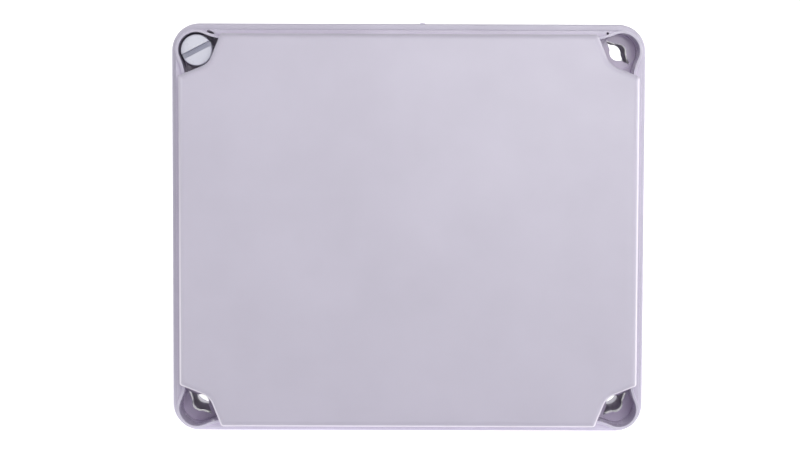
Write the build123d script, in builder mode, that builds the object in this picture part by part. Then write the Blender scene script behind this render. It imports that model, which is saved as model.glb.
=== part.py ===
from build123d import *
import os
from math import acos, atan2, cos, degrees, hypot, radians, sin

# Surface-mounted electrical junction box, millimetres.
# The origin is the centre of the back face, +Z is up, and the lid faces -Y.
# "Height" below always means the distance in front of the back face, along -Y.

# ---- driving dimensions: enclosure ----
BOX_W = 170.0
BOX_H = 147.0
BASE_DEPTH = 51.0
LID_RISE = 19.0            # panel front above the base rim
AXIS_INSET = 9.85          # corner screw axis from the rim outline, both ways
BACK_WALL = 2.5
BODY_INSET_BACK = 1.2      # side wall set in from the rim band, at the back
BODY_INSET_RIM = 0.8       # and where it meets the rim band
RIM_BAND = 4.5
RIM_EDGE = 0.6
GUTTER_INSET = 2.2
GUTTER_DEPTH = 2.5
SHELF_DEPTH = 5.0
CAVITY_INSET = 4.2
COLUMN_R = 9.1             # corner column, seen from inside the cavity
SHAFT_R = 7.2              # open shaft behind the bayonet web
SOCKET_R = 7.5             # socket in front of the web, takes the lid's cup
WEB_BACK = 22.0            # bayonet web, measured back from the rim
WEB_FRONT = 5.8

# ---- sealing ring: insets from the outline on the straight sides ----
WRAP = 6.5                 # a ring at inset x passes a corner at radius x + WRAP
TONGUE = (4.9, 6.6)
GROOVE_OUT = 4.6
GASKET = (4.75, 6.85)
LID_RIB = (7.0, 8.4)
TONGUE_RISE = 5.0
GASKET_FROM, GASKET_TO = 5.15, 7.95
RING_R = 1.6               # rounding where a straight side meets a corner arc

# ---- small moulded details ----
NUB_X = 4.9
NUB_W = 1.8
NUB_RISE = 0.4
DRAIN_X = BOX_W / 2 - AXIS_INSET - 5.0
DRAIN_Z = BOX_H / 2 - AXIS_INSET + 6.2
DRAIN_ANGLE = 24.0
DRAIN_L = 2.6
DRAIN_W = 0.9

# ---- cable knock-outs: two concentric grooves each, in the outside of the side walls ----
KNOCK_OUT_D = (25.5, 20.5)     # larger one first
KNOCK_OUT_LINE = 0.8
KNOCK_OUT_DEPTH = 0.5
KNOCK_OUT_HEIGHT = 23.5
KNOCK_OUT_X = (-45.0, 0.0, 45.0)
KNOCK_OUT_Z = (-30.0, 30.0)

# ---- lid ----
LID_INSET = 2.6
SKIRT = 2.0
SKIRT_DROP = 2.2           # the skirt enters the gutter
FLANGE_RISE = 10.5
GROOVE_ROOF = 8.0
RIB_DROP = 4.0
COLLAR_RISE = 12.2
COLLAR_WALL = 0.95
PANEL_INSET = 4.2
PANEL_WALL = 2.2
PANEL_EDGE_R = 2.2
PANEL_CORNER_R = 1.2
POCKET_R = 6.3
TIP_IN = 8.4               # pocket tip from the screw axis, along the side
TIP_OUT = 4.0              # and towards the outside
FLARE_ANGLE = 66.0
EAR_FLOOR = -0.8
EAR_BLOCK = -2.0           # back of the solid block round the ears
CUP_FLOOR_FRONT = -1.5
CUP_FLOOR_BACK = -5.5

# ---- quarter-turn lid screw ----
HEAD_R = 5.5
HEAD_TOP = 10.7
HEAD_T = 4.0
STEM_R = 4.4
FOOT_R = 5.4
FOOT_T = 1.6
SCREW_GAP = 0.1
# bayonet sections: radius of the round middle, reach of the wings, their half width at the axis
CUP_EYE = (3.05, 5.9, 2.75)
WEB_EYE = (3.3, 7.0, 3.3)
LUG = (2.65, 5.5, 2.35)
LUG_T = 3.0
SLOT_W = 1.9
SLOT_DEPTH = 2.6
SLOT_ANGLE = 27.0
HEAD_EDGE_R = 0.5
SPARE_PITCH = 16.0
SPARE_DEPTH = 26.0         # the loose screws' axis, in front of the back face

# ---- wall fixing and rail ----
FIX_X = 55.0
FIX_Z = 46.0
FIX_R = 2.6
FIX_PAD_R = 5.5
FIX_PAD_T = 1.5
POST_X = 40.0
POST_R = 4.5
POST_TOP = 10.0
PILOT_R = 2.0
RAIL_L = 104.0
RAIL_W = 35.0
RAIL_CHANNEL = 27.0
RAIL_T = 1.0
RAIL_DEPTH = 7.5

RAIL_SLOT_L = 9.0
RAIL_SLOT_W = 5.0
RAIL_SCREW_HEAD_R = 4.0
RAIL_SCREW_HEAD_T = 2.4
RUNNING_GAP = 0.05

# ---- terminals ----
POLES = ("line", "neutral", "earth")
POLE_PITCH = 6.2
CASE_W = 6.0
CASE_GAP = 0.15
CASE_BACK = POST_TOP + RAIL_DEPTH + 0.1
CASE_PROFILE = (21.0, 40.0, 16.5, 48.0)     # half height, shoulder, half nose, front
STOP_W = 5.0
STOP_PROFILE = (20.0, 27.0, 9.0, 32.0)
HOOK_T = 1.5
RAIL_CLEARANCE = 0.15
CLAMP_Z = 12.5
CAGE = (4.6, 6.4, 7.0)     # X, Z and depth
CAGE_WALL = 0.6
CAGE_BACK = 31.0
CAGE_TRAVEL = 2.5
BAR_W = 3.2
BAR_T = 1.0
BAR_HALF_L = 17.0
BAR_CLEARANCE = 0.1
CLAMP_SCREW_R = 1.45
CLAMP_HEAD_R = 2.0
CLAMP_HEAD_T = 2.4
CLAMP_SLOT_W = 0.8
WIRE_R = 1.7

# ---- derived places ----
RIM = BASE_DEPTH
AXIS_X = BOX_W / 2 - AXIS_INSET
AXIS_Z = BOX_H / 2 - AXIS_INSET
CORNERS = [(sx * AXIS_X, sz * AXIS_Z) for sx in (-1, 1) for sz in (-1, 1)]
HEAD_FROM_FOOT = HEAD_TOP - CUP_FLOOR_FRONT - SCREW_GAP
FITTED = (-AXIS_X, AXIS_Z)

os.makedirs("parts", exist_ok=True)


def front(height):
    """A sketch plane facing the lid side, this far in front of the back face."""
    return Plane.XZ.offset(height)


def write(part, label):
    """Label a finished piece and write its STEP file."""
    part.label = label
    export_step(part, f"parts/{label}.step")


def rim_outline(inset):
    """The box outline, set in all round; its corners stay centred on the screw axes."""
    with BuildSketch() as outline:
        RectangleRounded(BOX_W - 2 * inset, BOX_H - 2 * inset, AXIS_INSET - inset)
    return outline.sketch


def all_corners(shape):
    """A shape drawn about a screw axis for the upper right, mirrored to all four corners."""
    with BuildSketch() as corners:
        with Locations((AXIS_X, AXIS_Z)):
            add(shape)
        mirror(about=Plane.YZ)
        mirror(about=Plane.XZ)
    return corners.sketch


def cavity_region(inset, column_r, rounding=RING_R):
    """The space inside a wall that also passes inside the four corner columns."""
    with BuildSketch() as region:
        Rectangle(BOX_W - 2 * inset, BOX_H - 2 * inset)
        with Locations(CORNERS):
            Circle(column_r, mode=Mode.SUBTRACT)
        with Locations([(x * 1.5, z * 1.5) for x, z in CORNERS]):
            Rectangle(AXIS_X, AXIS_Z, mode=Mode.SUBTRACT)
        fillet(region.vertices(), radius=rounding)
    return region.sketch


def ring_region(inset):
    """The inside of the sealing line at this inset."""
    return cavity_region(inset, inset + WRAP)


def on_circle(radius, angle):
    return (radius * cos(radians(angle)), radius * sin(radians(angle)))


def flank_angle():
    """Where the straight inner flank of the upper ear touches the pocket circle."""
    tip_angle = degrees(atan2(TIP_OUT, -TIP_IN))
    return tip_angle + degrees(acos(POCKET_R / hypot(TIP_IN, TIP_OUT)))


def eye_pocket():
    """Pocket for a screw at the upper right: a circle drawn out to two pointed ears.

    The ears' outer sides are S-curves and their inner sides are flat flanks, all tangent
    to the circle. The shape is symmetric about the corner's diagonal.
    """
    flare = 180 - FLARE_ANGLE
    flank = flank_angle()
    upper_tip = (-TIP_IN, TIP_OUT)
    lower_tip = (TIP_OUT, -TIP_IN)
    with BuildSketch() as eye:
        with BuildLine():
            CenterArc((0, 0), POCKET_R, 90 - flare, 2 * flare - 90)
            TangentArc(on_circle(POCKET_R, flare), upper_tip, tangent=on_circle(1, flare + 90))
            Line(upper_tip, on_circle(POCKET_R, flank))
            CenterArc((0, 0), POCKET_R, flank, 2 * (225 - flank))
            Line(on_circle(POCKET_R, 450 - flank), lower_tip)
            TangentArc(on_circle(POCKET_R, 90 - flare), lower_tip, tangent=on_circle(1, -flare))
        make_face()
    return eye.sketch


def panel_notch():
    """Everything outside the pocket's panel side: its flanks run on past the panel's edges."""
    reach = 2 * AXIS_INSET
    start_x, start_y = on_circle(POCKET_R, flank_angle())
    slope = (-TIP_IN - start_x) / (TIP_OUT - start_y)
    run_out = start_x + slope * (reach - start_y)
    with BuildSketch() as notch:
        Circle(POCKET_R)
        with BuildLine():
            Polyline((0, 0), (start_x, start_y), (run_out, reach), (reach, reach),
                     (reach, run_out), (start_y, start_x), close=True)
        make_face()
    return notch.sketch


def bayonet_section(sizes, angle):
    """A bayonet section: a round middle and two wings tapering to points."""
    radius, tip, root = sizes
    with BuildSketch() as section:
        with Locations(Location((0, 0, 0), (0, 0, angle))):
            Circle(radius)
            Polygon((tip, 0), (0, root), (-tip, 0), (0, -root))
    return section.sketch


def lid_panel():
    """The raised panel's outline with its four notches."""
    edge_x = BOX_W / 2 - PANEL_INSET
    edge_z = BOX_H / 2 - PANEL_INSET
    with BuildSketch() as panel:
        Rectangle(2 * edge_x, 2 * edge_z)
        add(all_corners(panel_notch()), mode=Mode.SUBTRACT)
        horns = [v for v in panel.vertices()
                 if abs(abs(v.X) - edge_x) < 0.01 or abs(abs(v.Y) - edge_z) < 0.01]
        fillet(horns, radius=PANEL_CORNER_R)
    return panel.sketch


def collar_outline():
    """The thin collar's outside: the pocket's outline moved out by the collar's wall."""
    with BuildSketch() as collar:
        add(eye_pocket())
        offset(amount=COLLAR_WALL, kind=Kind.ARC)
    return collar.sketch


def knock_out_rings(centres):
    """The groove rings of a row of knock-outs."""
    with BuildSketch() as rings:
        with Locations(centres):
            for diameter in KNOCK_OUT_D:
                Circle(diameter / 2)
                Circle(diameter / 2 - KNOCK_OUT_LINE, mode=Mode.SUBTRACT)
    return rings.sketch


EYES = all_corners(eye_pocket())
COLLARS = all_corners(collar_outline())
CUP_EYES = all_corners(bayonet_section(CUP_EYE, -45))
WEB_EYES = all_corners(bayonet_section(WEB_EYE, -45))

# ---- base: side walls, back wall, corner shafts with bayonet webs, sealing tongue ----
with BuildPart() as base:
    # tapered body
    with BuildSketch(front(0)):
        add(rim_outline(BODY_INSET_BACK))
    extrude(amount=RIM - RIM_BAND, taper=-degrees(atan2(BODY_INSET_BACK - BODY_INSET_RIM, RIM)))
    fillet(base.faces().sort_by(Axis.Y)[-1].edges(), radius=RIM_EDGE)
    # rim band
    with BuildSketch(front(RIM - RIM_BAND)):
        add(rim_outline(0))
    extrude(amount=RIM_BAND)
    fillet(base.faces().sort_by(Axis.Y)[0].edges(), radius=RIM_EDGE)
    # cavity, narrower at the rim where the shelf carries the tongue
    with BuildSketch(front(BACK_WALL)):
        add(cavity_region(CAVITY_INSET, COLUMN_R))
    extrude(amount=RIM - SHELF_DEPTH - BACK_WALL, mode=Mode.SUBTRACT)
    with BuildSketch(front(RIM - SHELF_DEPTH)):
        add(ring_region(TONGUE[1]))
    extrude(amount=SHELF_DEPTH, mode=Mode.SUBTRACT)
    # gutter, then the tongue that stands in it
    with BuildSketch(front(RIM - GUTTER_DEPTH)):
        add(rim_outline(GUTTER_INSET))
    extrude(amount=GUTTER_DEPTH, mode=Mode.SUBTRACT)
    with BuildSketch(front(RIM - GUTTER_DEPTH)):
        add(ring_region(TONGUE[0]))
        add(ring_region(TONGUE[1]), mode=Mode.SUBTRACT)
    extrude(amount=GUTTER_DEPTH + TONGUE_RISE)
    # corner shafts, open at the back, with a socket in front of each web
    with BuildSketch(front(0)):
        with Locations(CORNERS):
            Circle(SHAFT_R)
    extrude(amount=RIM - WEB_BACK, mode=Mode.SUBTRACT)
    with BuildSketch(front(RIM - WEB_FRONT)):
        with Locations(CORNERS):
            Circle(SOCKET_R)
    extrude(amount=WEB_FRONT, mode=Mode.SUBTRACT)
    with BuildSketch(front(RIM - WEB_BACK)):
        add(WEB_EYES)
    extrude(amount=WEB_BACK - WEB_FRONT, mode=Mode.SUBTRACT)
    # pads and holes for the wall screws
    with BuildSketch(front(BACK_WALL)):
        with GridLocations(2 * FIX_X, 2 * FIX_Z, 2, 2):
            Circle(FIX_PAD_R)
    extrude(amount=FIX_PAD_T)
    with BuildSketch(front(0)):
        with GridLocations(2 * FIX_X, 2 * FIX_Z, 2, 2):
            Circle(FIX_R)
    extrude(amount=BACK_WALL + FIX_PAD_T, mode=Mode.SUBTRACT)
    # posts that carry the rail
    with BuildSketch(front(BACK_WALL)):
        with Locations((-POST_X, 0), (POST_X, 0)):
            Circle(POST_R)
            Circle(PILOT_R, mode=Mode.SUBTRACT)
    extrude(amount=POST_TOP - BACK_WALL)
    # knock-out grooves in the four side walls
    for side in (-1, 1):
        reach = KNOCK_OUT_DEPTH + BODY_INSET_BACK - BODY_INSET_RIM
        with BuildSketch(Plane.XY.offset(side * (BOX_H / 2 - BODY_INSET_RIM))):
            add(knock_out_rings([(x, -KNOCK_OUT_HEIGHT) for x in KNOCK_OUT_X]))
        with BuildSketch(Plane.YZ.offset(side * (BOX_W / 2 - BODY_INSET_RIM))):
            add(knock_out_rings([(-KNOCK_OUT_HEIGHT, z) for z in KNOCK_OUT_Z]))
        extrude(amount=-side * reach, mode=Mode.SUBTRACT)
    # gate mark on the rim's upper edge
    with BuildSketch(Plane.XY.offset(BOX_H / 2)):
        with Locations((NUB_X, -(RIM - RIM_BAND / 2))):
            Rectangle(NUB_W, RIM_BAND / 2)
    extrude(amount=NUB_RISE)
write(base.part, "base")

# ---- lid: skirt, flange, sealing groove, raised panel, and a cup at each corner ----
with BuildPart() as lid:
    # skirt and flange
    with BuildSketch(front(RIM - SKIRT_DROP)):
        add(rim_outline(LID_INSET))
    extrude(amount=SKIRT_DROP + FLANGE_RISE)
    with BuildSketch(front(RIM - SKIRT_DROP)):
        add(rim_outline(LID_INSET + SKIRT))
    extrude(amount=SKIRT_DROP + RIB_DROP, mode=Mode.SUBTRACT)
    # sealing groove between the outer wall and the inner rib
    with BuildSketch(front(RIM + RIB_DROP)):
        add(ring_region(GROOVE_OUT))
        add(ring_region(LID_RIB[0]), mode=Mode.SUBTRACT)
    extrude(amount=GROOVE_ROOF - RIB_DROP, mode=Mode.SUBTRACT)
    # raised panel, hollow behind
    with BuildSketch(front(RIM + FLANGE_RISE)):
        add(lid_panel())
    extrude(amount=LID_RISE - FLANGE_RISE)
    fillet(lid.faces().sort_by(Axis.Y)[0].edges(), radius=PANEL_EDGE_R)
    with BuildSketch(front(RIM + RIB_DROP)):
        add(ring_region(LID_RIB[1]))
    extrude(amount=LID_RISE - PANEL_WALL - RIB_DROP, mode=Mode.SUBTRACT)
    # corner blocks round the ears, then the round cups behind them
    with BuildSketch(front(RIM + EAR_BLOCK)):
        add(COLLARS)
    extrude(amount=COLLAR_RISE - EAR_BLOCK)
    with BuildSketch(front(RIM + CUP_FLOOR_BACK)):
        with Locations(CORNERS):
            Circle(POCKET_R + COLLAR_WALL)
    extrude(amount=COLLAR_RISE - CUP_FLOOR_BACK)
    # pockets
    with BuildSketch(front(RIM + EAR_FLOOR)):
        add(EYES)
    extrude(amount=LID_RISE - EAR_FLOOR, mode=Mode.SUBTRACT)
    with BuildSketch(front(RIM + CUP_FLOOR_FRONT)):
        with Locations(CORNERS):
            Circle(POCKET_R)
    extrude(amount=LID_RISE - CUP_FLOOR_FRONT, mode=Mode.SUBTRACT)
    with BuildSketch(front(RIM + CUP_FLOOR_BACK)):
        add(CUP_EYES)
    extrude(amount=CUP_FLOOR_FRONT - CUP_FLOOR_BACK, mode=Mode.SUBTRACT)
    # drain slots in the flange beside the two upper pockets
    with BuildSketch(front(RIM + RIB_DROP)):
        with Locations(Location((DRAIN_X, DRAIN_Z, 0), (0, 0, DRAIN_ANGLE))):
            Circle(DRAIN_W / 2)
        with Locations(Location((-DRAIN_X, DRAIN_Z, 0), (0, 0, -DRAIN_ANGLE))):
            SlotOverall(DRAIN_L, DRAIN_W)
    extrude(amount=FLANGE_RISE - RIB_DROP, mode=Mode.SUBTRACT)
write(lid.part, "lid")

# ---- lid gasket: one closed ring that follows the tongue round the corner columns ----
with BuildPart() as lid_gasket:
    with BuildSketch(front(RIM + GASKET_FROM)):
        add(ring_region(GASKET[0]))
        add(ring_region(GASKET[1]), mode=Mode.SUBTRACT)
    extrude(amount=GASKET_TO - GASKET_FROM)
write(lid_gasket.part, "lid_gasket")


def lid_screw_solid(place, slot_angle, lug_angle):
    """A quarter-turn screw about the given plane's axis; the plane is the foot's back face.

    From the back: two pointed lugs, a thin neck, a foot that bears on the floor of the lid's
    cup, a stem and a slotted head with a rounded rim.
    """
    neck_l = WEB_BACK + CUP_FLOOR_FRONT + 2 * SCREW_GAP
    with BuildPart() as screw:
        with BuildSketch(Plane.XY.offset(HEAD_FROM_FOOT - HEAD_T)):
            Circle(HEAD_R)
        extrude(amount=HEAD_T)
        fillet(screw.edges().group_by(Axis.Z)[-1], radius=HEAD_EDGE_R)
        with BuildSketch(Plane.XY.offset(HEAD_FROM_FOOT - SLOT_DEPTH)):
            with Locations(Location((0, 0, 0), (0, 0, slot_angle))):
                Rectangle(3 * HEAD_R, SLOT_W)
        extrude(amount=SLOT_DEPTH, mode=Mode.SUBTRACT)
        with BuildSketch(Plane.XY):
            Circle(STEM_R)
        extrude(amount=HEAD_FROM_FOOT - HEAD_T)
        with BuildSketch(Plane.XY):
            Circle(FOOT_R)
        extrude(amount=FOOT_T)
        with BuildSketch(Plane.XY.offset(-neck_l)):
            Circle(LUG[0])
        extrude(amount=neck_l)
        with BuildSketch(Plane.XY.offset(-neck_l - LUG_T)):
            add(bayonet_section(LUG, lug_angle))
        extrude(amount=LUG_T)
    return place.location * screw.part


# ---- lid screw in the upper left corner, turned to release: its lugs face the opening ----
SCREW_SEAT = Plane(origin=(FITTED[0], -(RIM + CUP_FLOOR_FRONT + SCREW_GAP), FITTED[1]),
                   x_dir=(1, 0, 0), z_dir=(0, -1, 0))
write(lid_screw_solid(SCREW_SEAT, SLOT_ANGLE, 45), "lid_screw")

# ---- the other lid screws, packed loose: they stand head down on the lower wall ----
SPARE_FOOT_Z = -BOX_H / 2 + CAVITY_INSET + HEAD_FROM_FOOT
spares = []
for index in range(3):
    spot = Plane(origin=((index - 1) * SPARE_PITCH, -SPARE_DEPTH, SPARE_FOOT_Z),
                 x_dir=(1, 0, 0), z_dir=(0, 0, -1))
    spares.append(lid_screw_solid(spot, 30 * index, 90 * index))
with BuildPart() as spare_lid_screws:
    add(spares)
write(spare_lid_screws.part, "spare_lid_screws")

# ---- top-hat rail on its two posts, and the screws that hold it ----
with BuildPart() as din_rail:
    with BuildSketch(front(POST_TOP)):
        Rectangle(RAIL_L, RAIL_W)
    extrude(amount=RAIL_DEPTH)
    with BuildSketch(front(POST_TOP + RAIL_T)):
        Rectangle(RAIL_L, RAIL_CHANNEL - 2 * RAIL_T)
    extrude(amount=RAIL_DEPTH - RAIL_T, mode=Mode.SUBTRACT)
    with BuildSketch(front(POST_TOP)):
        Rectangle(RAIL_L, RAIL_W)
        Rectangle(RAIL_L, RAIL_CHANNEL, mode=Mode.SUBTRACT)
    extrude(amount=RAIL_DEPTH - RAIL_T, mode=Mode.SUBTRACT)
    with BuildSketch(front(POST_TOP)):
        with Locations((-POST_X, 0), (POST_X, 0)):
            SlotOverall(RAIL_SLOT_L, RAIL_SLOT_W)
    extrude(amount=RAIL_T, mode=Mode.SUBTRACT)
write(din_rail.part, "din_rail")

with BuildPart() as rail_screws:
    with BuildSketch(front(POST_TOP + RAIL_T)):
        with Locations((-POST_X, 0), (POST_X, 0)):
            Circle(RAIL_SCREW_HEAD_R)
    extrude(amount=RAIL_SCREW_HEAD_T)
    fillet(rail_screws.edges().group_by(Axis.Y)[0], radius=RAIL_SCREW_HEAD_T / 3)
    with BuildSketch(front(POST_TOP + RAIL_T + RAIL_SCREW_HEAD_T / 2)):
        with Locations((-POST_X, 0), (POST_X, 0)):
            Rectangle(3 * RAIL_SCREW_HEAD_R / 2, CLAMP_SLOT_W)
            Rectangle(CLAMP_SLOT_W, 3 * RAIL_SCREW_HEAD_R / 2)
    extrude(amount=RAIL_SCREW_HEAD_T / 2, mode=Mode.SUBTRACT)
    with BuildSketch(front(BACK_WALL + SCREW_GAP)):
        with Locations((-POST_X, 0), (POST_X, 0)):
            Circle(PILOT_R - RUNNING_GAP)
    extrude(amount=POST_TOP + RAIL_T - BACK_WALL - SCREW_GAP)
write(rail_screws.part, "rail_screws")


def snap_on_body(x, width, profile):
    """A housing's outline: a block in front of the rail with a foot hooked round each flange."""
    half_h, shoulder, half_nose, nose = profile
    half_rail = RAIL_W / 2 + RAIL_CLEARANCE
    hook_back = POST_TOP + RAIL_DEPTH - RAIL_T - HOOK_T - RAIL_CLEARANCE
    with BuildPart() as body:
        with BuildSketch(Plane.YZ.offset(x - width / 2)):
            Polygon((-CASE_BACK, half_h), (-shoulder, half_h), (-nose, half_nose),
                    (-nose, -half_nose), (-shoulder, -half_h), (-CASE_BACK, -half_h), align=None)
            for side in (-1, 1):
                with Locations((-(hook_back + CASE_BACK) / 2, side * (half_rail + HOOK_T / 2))):
                    Rectangle(CASE_BACK - hook_back, HOOK_T)
                with Locations((-(hook_back + HOOK_T / 2), side * half_rail)):
                    Rectangle(HOOK_T, 2 * HOOK_T)
        extrude(amount=width)
    return body.part


# ---- end stops, one each side of the row of terminals ----
STOP_X = len(POLES) * POLE_PITCH / 2 + STOP_W / 2
with BuildPart() as end_stops:
    add([snap_on_body(side * STOP_X, STOP_W, STOP_PROFILE) for side in (-1, 1)])
write(end_stops.part, "end_stops")

# ---- terminals: for each pole a housing, a current bar, and two screw clamps ----
CAGE_FRONT = CAGE_BACK + CAGE[2]
BAR_BACK = CAGE_FRONT - CAGE_WALL - BAR_CLEARANCE - BAR_T
CLAMP_TIP = CAGE_FRONT - CAGE_WALL - BAR_CLEARANCE / 2
CLAMP_HEAD_BACK = CAGE_FRONT + CAGE_TRAVEL + 2 * CASE_GAP
CASE_NOSE = CASE_PROFILE[3]
CASE_HALF_H = CASE_PROFILE[0]
for number, pole in enumerate(POLES):
    pole_x = (number - 1) * POLE_PITCH
    ends = ((pole_x, CLAMP_Z), (pole_x, -CLAMP_Z))
    blank = snap_on_body(pole_x, CASE_W, CASE_PROFILE)
    with BuildPart() as housing:
        add(blank)
        # pockets for the cages and their travel
        with BuildSketch(front(CAGE_BACK - CASE_GAP)):
            with Locations(ends):
                Rectangle(CAGE[0] + 2 * CASE_GAP, CAGE[1] + 2 * CASE_GAP)
        extrude(amount=CAGE[2] + CAGE_TRAVEL + 2 * CASE_GAP, mode=Mode.SUBTRACT)
        # channel for the current bar
        with BuildSketch(front(BAR_BACK - CASE_GAP)):
            with Locations((pole_x, 0)):
                Rectangle(BAR_W + 2 * CASE_GAP, 2 * (BAR_HALF_L + CASE_GAP))
        extrude(amount=BAR_T + 2 * CASE_GAP, mode=Mode.SUBTRACT)
        # screwdriver holes from the front
        with BuildSketch(front(CAGE_FRONT)):
            with Locations(ends):
                Circle(CLAMP_HEAD_R + CASE_GAP)
        extrude(amount=CASE_NOSE - CAGE_FRONT, mode=Mode.SUBTRACT)
        # wire entries from both ends
        for side in (-1, 1):
            with BuildSketch(Plane.XY.offset(side * CASE_HALF_H)):
                with Locations((pole_x, -(CAGE_BACK + CAGE_WALL + WIRE_R))):
                    Circle(WIRE_R)
            extrude(amount=-side * (CASE_HALF_H - CLAMP_Z), mode=Mode.SUBTRACT)
    write(housing.part, f"{pole}_terminal_housing")

    with BuildPart() as bar:
        with BuildSketch(front(BAR_BACK)):
            with Locations((pole_x, 0)):
                Rectangle(BAR_W, 2 * BAR_HALF_L)
        extrude(amount=BAR_T)
    write(bar.part, f"{pole}_current_bar")

    for end, spot in zip(("upper", "lower"), ends):
        with BuildPart() as cage:
            with BuildSketch(front(CAGE_BACK)):
                with Locations(spot):
                    Rectangle(CAGE[0], CAGE[1])
            extrude(amount=CAGE[2])
            with BuildSketch(front(CAGE_BACK + CAGE_WALL)):
                with Locations(spot):
                    Rectangle(CAGE[0] - 2 * CAGE_WALL, CAGE[1])
            extrude(amount=CAGE[2] - 2 * CAGE_WALL, mode=Mode.SUBTRACT)
            with BuildSketch(front(CAGE_FRONT - CAGE_WALL)):
                with Locations(spot):
                    Circle(CLAMP_SCREW_R + RUNNING_GAP)
            extrude(amount=CAGE_WALL, mode=Mode.SUBTRACT)
        write(cage.part, f"{pole}_{end}_clamp_cage")

        with BuildPart() as clamp_screw:
            with BuildSketch(front(CLAMP_TIP)):
                with Locations(spot):
                    Circle(CLAMP_SCREW_R)
            extrude(amount=CLAMP_HEAD_BACK - CLAMP_TIP)
            with BuildSketch(front(CLAMP_HEAD_BACK)):
                with Locations(spot):
                    Circle(CLAMP_HEAD_R)
            extrude(amount=CLAMP_HEAD_T)
            with BuildSketch(front(CLAMP_HEAD_BACK + CLAMP_HEAD_T / 2)):
                with Locations(spot):
                    Rectangle(3 * CLAMP_HEAD_R, CLAMP_SLOT_W)
            extrude(amount=CLAMP_HEAD_T / 2, mode=Mode.SUBTRACT)
        write(clamp_screw.part, f"{pole}_{end}_clamp_screw")
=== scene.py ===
import math

import bmesh
import bpy
from mathutils import Matrix, Vector, noise


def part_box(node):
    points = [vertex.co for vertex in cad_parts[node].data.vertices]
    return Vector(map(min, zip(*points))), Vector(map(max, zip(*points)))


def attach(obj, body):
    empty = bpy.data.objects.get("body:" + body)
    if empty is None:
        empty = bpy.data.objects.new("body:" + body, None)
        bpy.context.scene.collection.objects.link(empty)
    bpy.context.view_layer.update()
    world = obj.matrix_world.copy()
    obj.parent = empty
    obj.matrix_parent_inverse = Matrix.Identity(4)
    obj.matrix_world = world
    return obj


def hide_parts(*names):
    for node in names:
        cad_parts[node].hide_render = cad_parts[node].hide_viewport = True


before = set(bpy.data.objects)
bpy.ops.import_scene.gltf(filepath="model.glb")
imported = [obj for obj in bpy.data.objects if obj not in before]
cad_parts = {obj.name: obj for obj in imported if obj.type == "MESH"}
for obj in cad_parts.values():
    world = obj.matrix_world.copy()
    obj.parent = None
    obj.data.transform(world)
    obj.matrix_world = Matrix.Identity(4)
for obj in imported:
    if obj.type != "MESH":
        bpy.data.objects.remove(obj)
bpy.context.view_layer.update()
MM = 0.001
X, Y, Z = range(3)

# ---- places and sizes taken from the frame ----
BASE_LOW, BASE_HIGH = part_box("base")
GASKET_LOW, GASKET_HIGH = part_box("lid_gasket")
SCREW_LOW, SCREW_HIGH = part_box("lid_screw")
HALF_W = BASE_HIGH.x
HALF_H = -BASE_LOW.z
SCREW_AXIS = (SCREW_LOW + SCREW_HIGH) / 2
PANEL_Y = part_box("lid")[0].y

# ---- camera, measured from the middle of the base's rim ----
RIM_Y = -51 * MM
CAMERA_DISTANCE = 700 * MM
CAMERA_X = -5.3 * MM
CAMERA_Z = 43.4 * MM
CAMERA_PITCH = -0.0606
CAMERA_YAW = -0.0033
CAMERA_ROLL = 0.0033
CAMERA_LENS = 87.5
SENSOR_W = 36.0
CLIP_NEAR, CLIP_FAR = 0.01, 50.0

# ---- light: name, place, size, power ----
LIGHTS = (
    ("front_right", (0.14, -0.75, 0.12), 0.35, 1.25),
    ("upper", (0.05, -0.65, 0.45), 0.3, 0.65),
    ("right_side", (0.6, -0.15, 0.12), 0.12, 1.2),
    ("left_fill", (-0.6, -0.4, 0.1), 0.12, 0.8),
)
WORLD_LEVEL = 0.25
WORLD_LOBES = (                              # direction, narrowness, strength
    ((0.1, -1.0, -0.1), 1.0, 0.28),
    ((0.0, 1.0, -0.1), 2.0, 1.4),
)

# ---- floor and backdrop: glow strengths, and distances in metres ----
FLOOR_HALF = 6.0
FLOOR_GAP = 0.05 * MM
GLOW_BEHIND, GLOW_AHEAD = 0.9, 0.1           # behind the panel's plane, and in front of it
AHEAD_FROM, AHEAD_TO = 0.0, 1.0 * MM
FLOOR_SHOWN = 0.85
WHITE_SHOWN = 1.3
WHITE_FROM, WHITE_TO = 0.25, 0.6
WHITE = (1.0, 1.0, 1.0, 1.0)

# ---- surface patterns, in waves or cells per metre ----
CLOUD_SCALE = 28.0
STREAK_SCALES = (14.0, 14.0, 140.0)
GRAIN_SCALE = 5200.0
SHEEN_SCALE = 120.0
SCUFF_SCALE = 42.0
RAGGED_SCALE = 900.0
BRUSH_ALONG, BRUSH_ACROSS = 60.0, 4200.0
PLATING_SCALE = 160.0
PORE_SCALE = 3000.0
DUST_SCALE = 220.0
PAPER_SCALE = 900.0

# ---- where the patterns start and end, and what they change ----
NOISE_MIDDLE = (0.3, 0.7)                    # the range that most of a noise texture fills
STREAK_BAND = (0.55, 0.75)
STREAK_SHARE = 0.25
EDGE_DOTS = (0.99, 0.8)                      # rounded against true normal: flat face, full edge
BEND_FACING = (0.25, 0.4, 0.65, 0.8)         # how far a bend's outer part faces the front, for the painted highlight
BEND_UP = (0.45, 0.1)                        # the painted highlight is left off bends that face up, where shade falls
# paler edges: partly wear, partly painted highlight
WEAR_AND_HIGHLIGHT_LIGHTER = 1.45
# painted highlight: how much paler the front's bends are
BEND_HIGHLIGHT_LIGHTER = 1.6
RECESS_SKY = (0.58, 0.3)                     # open sky at the mouth of a recess and deep inside; painted shade grows between them
SCUFF_CHANCE = 0.14
SCUFF_RIM, SCUFF_CORE = 0.1, 0.07
SCUFF_RAGGED = 0.09
SCUFF_DARKER = 0.72
SCUFF_DEPTH = 2.5
PLATING_DARKER = 0.78
PLATED_EDGE_LIGHTER = 1.3
DUST_BAND = (0.45, 0.75)
DUST_SHARE = 0.35
BUMP_DEPTH = 0.02 * MM
PORE_DEPTH = 0.05 * MM

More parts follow.
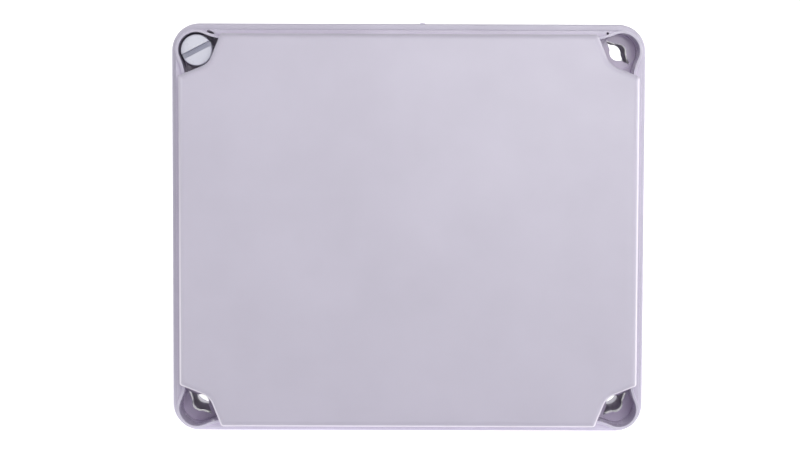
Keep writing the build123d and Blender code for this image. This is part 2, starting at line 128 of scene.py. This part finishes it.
# ---- lid gasket cord ----
CORD_WIDTH = 2.1 * MM
CORD_STEP = 1.0 * MM
CORD_WRAP = 6.5 * MM                         # extra radius of the dip round a corner column
CORD_SIDES = 16
CORD_SQUARENESS = 0.6
CORD_FILL_WIDE, CORD_FILL_DEEP = 0.94, 0.96  # how much of the groove's section it fills
CORD_UNEVEN = 0.02
CORD_UNEVEN_SCALE = 90
CORD_SOFTENING = 3

# ======================================================================
# node graphs
# ======================================================================
class Graph:
    """Short calls for adding nodes and links to one node tree."""

    def __init__(self, tree):
        self.tree = tree

    def add(self, kind, inputs=None, **settings):
        node = self.tree.nodes.new(kind)
        for key, value in settings.items():
            setattr(node, key, value)
        for key, value in (inputs or {}).items():
            self.plug(node.inputs[key], value)
        return node

    def plug(self, socket, value):
        if isinstance(value, bpy.types.NodeSocket):
            self.tree.links.new(value, socket)
        else:
            socket.default_value = value

    def math(self, operation, a, b=0.0):
        return self.add("ShaderNodeMath", {0: a, 1: b}, operation=operation).outputs[0]

    def noise(self, vector, scale, detail=2.0, roughness=0.5):
        inputs = {"Vector": vector, "Scale": scale, "Detail": detail, "Roughness": roughness}
        return self.add("ShaderNodeTexNoise", inputs).outputs["Fac"]

    def remap(self, value, low, high, to_low=0.0, to_high=1.0):
        """Straight from low..high to to_low..to_high, and level beyond."""
        inputs = {0: value, 1: low, 2: high, 3: to_low, 4: to_high}
        return self.add("ShaderNodeMapRange", inputs).outputs[0]

    def mix(self, factor, a, b, blend="MIX"):
        """Two colours mixed; sockets 6 and 7 are the colours of a colour mix node."""
        node = self.add("ShaderNodeMix", data_type="RGBA", blend_type=blend)
        self.plug(node.inputs[0], factor)
        self.plug(node.inputs[6], a)
        self.plug(node.inputs[7], b)
        return node.outputs[2]

    def bump(self, height, strength, distance, normal=None):
        inputs = {"Height": height, "Strength": strength, "Distance": distance}
        if normal is not None:
            inputs["Normal"] = normal
        return self.add("ShaderNodeBump", inputs).outputs[0]

    def rounded_normal(self, radius):
        return self.add("ShaderNodeBevel", {"Radius": radius}, samples=4).outputs[0]

    def bend_highlight_mask(self, place):
        """Mask for a painted highlight: 1 on the outer part of the front's rounded edges, less
        to the upper left where less light falls, else 0.
        """
        true_normal = self.add("ShaderNodeNewGeometry").outputs["Normal"]
        normal = self.add("ShaderNodeSeparateXYZ", {0: true_normal})
        facing = self.math("ABSOLUTE", normal.outputs["Y"])
        rises = self.remap(facing, BEND_FACING[0], BEND_FACING[1])
        falls = self.remap(facing, BEND_FACING[3], BEND_FACING[2])
        bend = self.math("MULTIPLY", rises, falls)
        bend = self.math("MULTIPLY", bend, self.remap(normal.outputs["Z"], *BEND_UP))
        spot = self.add("ShaderNodeSeparateXYZ", {0: place})
        rightward = self.math("MULTIPLY", spot.outputs["X"], 0.5)
        lower_right = self.math("SUBTRACT", rightward, spot.outputs["Z"])
        return self.math("MULTIPLY", bend, self.remap(lower_right, -HALF_W, 0.0))

    def edge_mask(self, radius):
        """1 on edges where the rounded normal leaves the true one, 0 on flat faces."""
        true_normal = self.add("ShaderNodeNewGeometry").outputs["Normal"]
        rounded = self.rounded_normal(radius)
        dot = self.add("ShaderNodeVectorMath", {0: true_normal, 1: rounded},
                       operation="DOT_PRODUCT")
        return self.remap(dot.outputs["Value"], *EDGE_DOTS)


def srgb(r, g, b):
    """An sRGB colour given as 0 to 255, as the linear RGBA that Blender wants."""
    def linear(v):
        v = v / 255
        return v / 12.92 if v <= 0.04045 else ((v + 0.055) / 1.055) ** 2.4
    return (linear(r), linear(g), linear(b), 1.0)


def scaled(colour, factor, offset=0.0):
    """A lighter or darker version of a linear colour."""
    return tuple(min(1.0, c * factor + offset) for c in colour[:3]) + (1.0,)


def material(name):
    made = bpy.data.materials.new(name)
    made.use_nodes = True
    made.node_tree.nodes.clear()
    return made, Graph(made.node_tree)


def finish_material(graph, **inputs):
    """Adds the surface shader; an underscore in an input's name stands for a space."""
    named = {key.replace("_", " "): value for key, value in inputs.items()}
    shader = graph.add("ShaderNodeBsdfPrincipled", named)
    graph.add("ShaderNodeOutputMaterial", {"Surface": shader.outputs[0]})


# recess_shade_colour is multiplied into deep hollows as painted shade
def moulded_plastic(name, colour, roughness=0.42, grain=0.10, tint=0.03,
                    edge_radius=0.25 * MM, scuffs=0.0, wear_and_highlight=0.22, bend_highlight=0.0,
                    recess_roughness=None, recess_shade_colour=(1.0, 0.9, 1.02, 1.0),
                    recess_reach=12 * MM):
    """Injection-moulded plastic: faint flow clouding, fine mould grain, and paler edges that
    are partly wear and partly a painted highlight.

    bend_highlight paints a paler highlight on the front's bends, scuffs adds a few small marks,
    and the recess values put painted shade, a darker and purpler colour, in deep hollows and
    give them their own roughness.
    """
    made, g = material(name)
    place = g.add("ShaderNodeTexCoord").outputs["Object"]
    clouds = g.noise(place, CLOUD_SCALE, 3.0, 0.55)
    stretched = g.add("ShaderNodeMapping", {0: place, 3: STREAK_SCALES}).outputs[0]
    streaks = g.noise(stretched, 1.0, 3.0)
    fine = g.noise(place, GRAIN_SCALE, 2.0, 0.6)
    light = scaled(colour, 1 + tint)
    base = g.mix(g.remap(clouds, *NOISE_MIDDLE), scaled(colour, 1 - tint), light)
    base = g.mix(g.math("MULTIPLY", g.remap(streaks, *STREAK_BAND), STREAK_SHARE), base, light)
    edges = g.edge_mask(edge_radius)
    # paler edges: partly wear, partly painted highlight
    base = g.mix(g.math("MULTIPLY", edges, wear_and_highlight), base, scaled(colour, WEAR_AND_HIGHLIGHT_LIGHTER))
    # painted highlight along the front's bends, fading towards the upper left
    if bend_highlight:
        bends = g.math("MULTIPLY", g.bend_highlight_mask(place), bend_highlight)
        base = g.mix(bends, base, scaled(colour, BEND_HIGHLIGHT_LIGHTER))
    sheen = g.noise(place, SHEEN_SCALE, 4.0)
    rough = g.remap(sheen, *NOISE_MIDDLE, roughness - 0.04, roughness + 0.05)
    rough = g.math("SUBTRACT", rough, g.math("MULTIPLY", edges, 0.08))
    height = fine
    # painted shade: deep hollows get a darker, purpler colour from an occlusion mask
    if recess_roughness is not None:
        occlusion = g.add("ShaderNodeAmbientOcclusion", {"Distance": recess_reach}, samples=4,
                          only_local=True)
        recess = g.remap(occlusion.outputs["AO"], *RECESS_SKY)
        base = g.mix(recess, base, recess_shade_colour, "MULTIPLY")
        change = g.math("MULTIPLY", recess, recess_roughness - roughness)
        rough = g.math("ADD", rough, change)
    if scuffs:
        cells = g.add("ShaderNodeTexVoronoi",
                      {"Vector": place, "Scale": SCUFF_SCALE, "Randomness": 1.0})
        ragged = g.math("MULTIPLY", g.noise(place, RAGGED_SCALE, 3.0), SCUFF_RAGGED)
        away = g.math("ADD", cells.outputs["Distance"], ragged)
        near = g.remap(away, SCUFF_RIM, SCUFF_CORE)
        draw = g.add("ShaderNodeSeparateColor", {0: cells.outputs["Color"]}).outputs[0]
        chosen = g.math("GREATER_THAN", draw, 1 - SCUFF_CHANCE)
        mark = g.math("MULTIPLY", g.math("MULTIPLY", near, chosen), scuffs)
        base = g.mix(mark, base, scaled(colour, SCUFF_DARKER))
        height = g.math("SUBTRACT", height, g.math("MULTIPLY", mark, SCUFF_DEPTH))
    normal = g.bump(height, grain, BUMP_DEPTH, g.rounded_normal(edge_radius))
    finish_material(g, Base_Color=base, Roughness=rough, Normal=normal, IOR=1.5)
    return made


def plated_metal(name, colour, roughness, brush_axis, edge_radius=0.12 * MM):
    """Plated or drawn metal: fine lines along one axis, cloudy plating and brighter edges."""
    made, g = material(name)
    place = g.add("ShaderNodeTexCoord").outputs["Object"]
    stretch = tuple(BRUSH_ALONG if axis == brush_axis else BRUSH_ACROSS for axis in range(3))
    lines = g.noise(g.add("ShaderNodeMapping", {0: place, 3: stretch}).outputs[0], 1.0, 2.0)
    clouds = g.noise(place, PLATING_SCALE, 3.0)
    base = g.mix(g.remap(clouds, *NOISE_MIDDLE), scaled(colour, PLATING_DARKER), colour)
    edges = g.edge_mask(edge_radius)
    base = g.mix(g.math("MULTIPLY", edges, 0.5), base, scaled(colour, PLATED_EDGE_LIGHTER))
    rough = g.remap(lines, *NOISE_MIDDLE, roughness - 0.07, roughness + 0.08)
    normal = g.bump(lines, 0.12, BUMP_DEPTH, g.rounded_normal(edge_radius))
    finish_material(g, Base_Color=base, Roughness=rough, Metallic=1.0, Normal=normal)
    return made


def foam_rubber(name, colour):
    """Closed-cell rubber: matt, with fine pores and dusty high spots."""
    made, g = material(name)
    place = g.add("ShaderNodeTexCoord").outputs["Object"]
    cells = g.add("ShaderNodeTexVoronoi", {"Vector": place, "Scale": PORE_SCALE})
    pores = cells.outputs["Distance"]
    dust = g.remap(g.noise(place, DUST_SCALE, 4.0), *DUST_BAND, 0.0, DUST_SHARE)
    base = g.mix(dust, colour, scaled(colour, 2.2, 0.01))
    rough = g.remap(pores, 0.0, 0.6, 0.75, 0.95)
    normal = g.bump(pores, 0.5, PORE_DEPTH)
    finish_material(g, Base_Color=base, Roughness=rough, Normal=normal)
    return made


def two_colour_plastic(name, colour, stripe, middle_z, half_stripe):
    """Moulded plastic with a band of a second colour across the middle of the part."""
    made = moulded_plastic(name, colour, roughness=0.4)
    g = Graph(made.node_tree)
    shader = next(node for node in g.tree.nodes if node.type == "BSDF_PRINCIPLED")
    plain = shader.inputs["Base Color"].links[0].from_socket
    place = g.add("ShaderNodeTexCoord").outputs["Object"]
    z = g.add("ShaderNodeSeparateXYZ", {0: place}).outputs["Z"]
    away = g.math("ABSOLUTE", g.math("SUBTRACT", z, middle_z))
    band = g.math("LESS_THAN", away, half_stripe)
    g.plug(shader.inputs["Base Color"], g.mix(band, plain, stripe))
    return made


# ======================================================================
# materials for the CAD nodes
# ======================================================================
def paint(node, made):
    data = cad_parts[node].data
    data.materials.clear()
    data.materials.append(made)


def paint_frame():
    shell = {
        "colour": srgb(203, 198, 214),
        "roughness": 0.34,
        "scuffs": 0.35,
        "edge_radius": 0.5 * MM,
        # paler edges, partly wear and partly painted highlight
        "wear_and_highlight": 0.8,
        # painted highlight on the front's bends
        "bend_highlight": 0.9,
    }
    enclosure = {
        "base": moulded_plastic("base_lilac_grey", recess_roughness=0.6, **shell),
        "lid": moulded_plastic("lid_lilac_grey", recess_roughness=0.07, **shell),
    }
    # painted shade darkens the screw's slot and hollows
    screw = moulded_plastic("screw_pale_grey", srgb(222, 223, 233), roughness=0.3, tint=0.04,
                            recess_roughness=0.35, recess_shade_colour=(0.6, 0.6, 0.68, 1.0),
                            recess_reach=5 * MM)
    zinc = plated_metal("zinc_strip", srgb(196, 198, 196), 0.34, X)
    nickel = plated_metal("nickel_screw", srgb(200, 198, 192), 0.28, Y)
    copper = plated_metal("copper_bar", srgb(214, 150, 106), 0.3, Z)
    dark = moulded_plastic("end_stop_dark_grey", srgb(92, 95, 100))
    housings = {
        "line": moulded_plastic("terminal_grey", srgb(139, 141, 146)),
        "neutral": moulded_plastic("terminal_blue", srgb(42, 88, 168)),
        "earth": two_colour_plastic("terminal_green_yellow", srgb(38, 128, 58),
                                    srgb(228, 200, 40), middle_z=0.0, half_stripe=4.5 * MM),
    }
    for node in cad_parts:
        if node in enclosure:
            paint(node, enclosure[node])
        elif "lid_screw" in node:
            paint(node, screw)
        elif node == "din_rail":
            paint(node, zinc)
        elif node == "end_stops":
            paint(node, dark)
        elif node.endswith("_housing"):
            paint(node, housings[node.split("_")[0]])
        elif node.endswith("_bar"):
            paint(node, copper)
        elif node != "lid_gasket":
            paint(node, nickel)


# ======================================================================
# lid gasket: a rounded rubber cord that follows the sealing groove
# ======================================================================
def gasket_path(inset, wrap, step):
    """Centre line of the seal: straight sides that dip round each corner column on an arc."""
    axis_x, axis_z = abs(SCREW_AXIS.x), abs(SCREW_AXIS.z)
    side_x, side_z = HALF_W - inset, HALF_H - inset
    radius = inset + wrap
    run_x = math.sqrt(radius ** 2 - (side_x - axis_x) ** 2)
    run_z = math.sqrt(radius ** 2 - (side_z - axis_z) ** 2)
    first = math.atan2(-run_x, side_x - axis_x)
    last = math.atan2(side_z - axis_z, -run_z)
    turn = 2 * math.pi - (last - first)
    arc_steps = round(radius * turn / step)
    arcs = []
    for flip_x, flip_z in ((1, 1), (-1, 1), (-1, -1), (1, -1)):
        arc = []
        for i in range(arc_steps + 1):
            angle = first - turn * i / arc_steps
            arc.append((flip_x * (axis_x + radius * math.cos(angle)),
                        flip_z * (axis_z + radius * math.sin(angle))))
        arcs.append(arc if flip_x * flip_z > 0 else arc[::-1])
    ring = []
    for arc, following in zip(arcs, arcs[1:] + arcs[:1]):
        ring += arc
        a, b = Vector(arc[-1]), Vector(following[0])
        count = round((b - a).length / step)
        ring += [tuple(a.lerp(b, i / count)) for i in range(1, count)]
    return [Vector(p) for p in ring]


def soften(ring, rounds):
    """Rounds the corners of a closed line by averaging each point with its neighbours."""
    for _ in range(rounds):
        count = len(ring)
        ring = [(ring[i - 1] + ring[i] * 2 + ring[(i + 1) % count]) / 4 for i in range(count)]
    return ring


def rounded_square(angle):
    """A point at this angle on a unit outline between a circle and a square."""
    c, s = math.cos(angle), math.sin(angle)
    return (math.copysign(abs(c) ** CORD_SQUARENESS, c),
            math.copysign(abs(s) ** CORD_SQUARENESS, s))


def build_gasket():
    """A rounded square swept along the groove, its thickness slightly uneven."""
    inset = HALF_W - GASKET_HIGH.x + CORD_WIDTH / 2
    ring = soften(gasket_path(inset, CORD_WRAP, CORD_STEP), CORD_SOFTENING)
    depth = GASKET_HIGH.y - GASKET_LOW.y
    middle_y = (GASKET_HIGH.y + GASKET_LOW.y) / 2
    mesh = bpy.data.meshes.new("lid_gasket_cord")
    bm = bmesh.new()
    rows = []
    for i, point in enumerate(ring):
        along = (ring[(i + 1) % len(ring)] - ring[i - 1]).normalized()
        across = Vector((along.y, -along.x))
        uneven = CORD_UNEVEN * noise.noise(Vector((point.x, point.y, 0)) * CORD_UNEVEN_SCALE)
        row = []
        for k in range(CORD_SIDES):
            wide, deep = rounded_square(2 * math.pi * k / CORD_SIDES)
            u = wide * CORD_WIDTH / 2 * (CORD_FILL_WIDE + uneven)
            v = deep * depth / 2 * (CORD_FILL_DEEP + uneven)
            row.append(bm.verts.new((point.x + across.x * u, middle_y + v,
                                     point.y + across.y * u)))
        rows.append(row)
    for row, following in zip(rows, rows[1:] + rows[:1]):
        for k in range(CORD_SIDES):
            beside = (k + 1) % CORD_SIDES
            bm.faces.new((row[k], row[beside], following[beside], following[k]))
    bmesh.ops.recalc_face_normals(bm, faces=bm.faces)
    bm.to_mesh(mesh)
    bm.free()
    for face in mesh.polygons:
        face.use_smooth = True
    cord = bpy.data.objects.new("lid_gasket_cord", mesh)
    bpy.context.scene.collection.objects.link(cord)
    mesh.materials.append(foam_rubber("black_foam_rubber", srgb(34, 34, 37)))
    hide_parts("lid_gasket")
    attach(cord, "lid_unit")


# ======================================================================
# floor, light and camera
# ======================================================================
def choose(graph, seen, for_light, for_camera):
    """One value for light that reaches the object, another for what the camera sees.

    Sockets 2 and 3 are the two values of a number mix node.
    """
    node = graph.add("ShaderNodeMix", data_type="FLOAT")
    graph.plug(node.inputs[0], seen)
    graph.plug(node.inputs[2], for_light)
    graph.plug(node.inputs[3], for_camera)
    return node.outputs[0]


def build_floor():
    """A pale floor that fades to plain white away from the object."""
    level = BASE_LOW.z - FLOOR_GAP
    corners = [(x * FLOOR_HALF, y * FLOOR_HALF, level)
               for x, y in ((-1, -1), (1, -1), (1, 1), (-1, 1))]
    mesh = bpy.data.meshes.new("floor")
    mesh.from_pydata(corners, [], [(0, 1, 2, 3)])
    floor = bpy.data.objects.new("floor", mesh)
    bpy.context.scene.collection.objects.link(floor)
    made, g = material("pale_floor")
    place = g.add("ShaderNodeTexCoord").outputs["Object"]
    paper = g.bump(g.noise(place, PAPER_SCALE, 3.0), 0.05, 0.05 * MM)
    diffuse = g.add("ShaderNodeBsdfDiffuse", {"Color": srgb(200, 200, 201), "Normal": paper})
    away = g.add("ShaderNodeVectorMath", {0: place}, operation="LENGTH").outputs["Value"]
    seen = g.add("ShaderNodeLightPath").outputs["Is Camera Ray"]
    y = g.add("ShaderNodeSeparateXYZ", {0: place}).outputs["Y"]
    ahead = g.math("SUBTRACT", PANEL_Y, y)
    cast = g.remap(ahead, AHEAD_FROM, AHEAD_TO, GLOW_BEHIND, GLOW_AHEAD)
    strength = choose(g, seen, cast, FLOOR_SHOWN)
    glow = g.add("ShaderNodeEmission", {"Color": WHITE, "Strength": strength})
    both = g.add("ShaderNodeAddShader", {0: diffuse.outputs[0], 1: glow.outputs[0]})
    white = g.add("ShaderNodeEmission", {"Color": WHITE, "Strength": WHITE_SHOWN})
    far = g.math("MULTIPLY", g.remap(away, WHITE_FROM, WHITE_TO), seen)
    shader = g.add("ShaderNodeMixShader", {0: far, 1: both.outputs[0], 2: white.outputs[0]})
    g.add("ShaderNodeOutputMaterial", {"Surface": shader.outputs[0]})
    mesh.materials.append(made)


def build_world():
    """White surroundings: the camera sees plain white, the object a soft glow."""
    world = bpy.data.worlds.new("studio")
    world.use_nodes = True
    world.node_tree.nodes.clear()
    bpy.context.scene.world = world
    g = Graph(world.node_tree)
    direction = g.add("ShaderNodeTexCoord").outputs["Generated"]
    level = WORLD_LEVEL
    for toward, power, strength in WORLD_LOBES:
        facing = g.add("ShaderNodeVectorMath", {0: direction, 1: Vector(toward).normalized()},
                       operation="DOT_PRODUCT")
        lobe = g.math("POWER", g.math("MAXIMUM", facing.outputs["Value"]), power)
        level = g.math("ADD", level, g.math("MULTIPLY", lobe, strength))
    seen = g.add("ShaderNodeLightPath").outputs["Is Camera Ray"]
    shown = choose(g, seen, level, WHITE_SHOWN)
    background = g.add("ShaderNodeBackground", {"Color": WHITE, "Strength": shown})
    g.add("ShaderNodeOutputWorld", {"Surface": background.outputs[0]})


def area_light(name, place, target, size, power):
    """A round lamp that shines from one place towards another."""
    data = bpy.data.lights.new(name, "AREA")
    data.shape = "DISK"
    data.size = size
    data.energy = power
    light = bpy.data.objects.new(name, data)
    light.location = place
    light.rotation_mode = "QUATERNION"
    light.rotation_quaternion = (Vector(target) - Vector(place)).to_track_quat("-Z", "Y")
    bpy.context.scene.collection.objects.link(light)


def build_lights():
    middle = (0.0, PANEL_Y, 0.0)
    for name, place, size, power in LIGHTS:
        area_light(name, place, middle, size, power)


def build_camera():
    data = bpy.data.cameras.new("camera")
    data.lens = CAMERA_LENS
    data.sensor_width = SENSOR_W
    data.clip_start = CLIP_NEAR
    data.clip_end = CLIP_FAR
    camera = bpy.data.objects.new("camera", data)
    turn = (Matrix.Rotation(CAMERA_YAW, 4, "Z")
            @ Matrix.Rotation(math.pi / 2 + CAMERA_PITCH, 4, "X")
            @ Matrix.Rotation(CAMERA_ROLL, 4, "Z"))
    place = Matrix.Translation((CAMERA_X, RIM_Y - CAMERA_DISTANCE, CAMERA_Z))
    camera.matrix_world = place @ turn
    bpy.context.scene.collection.objects.link(camera)
    bpy.context.scene.camera = camera


def set_view():
    view = bpy.context.scene.view_settings
    view.view_transform = "Standard"
    view.look = "None"


paint_frame()
build_gasket()
build_floor()
build_world()
build_lights()
build_camera()
set_view()
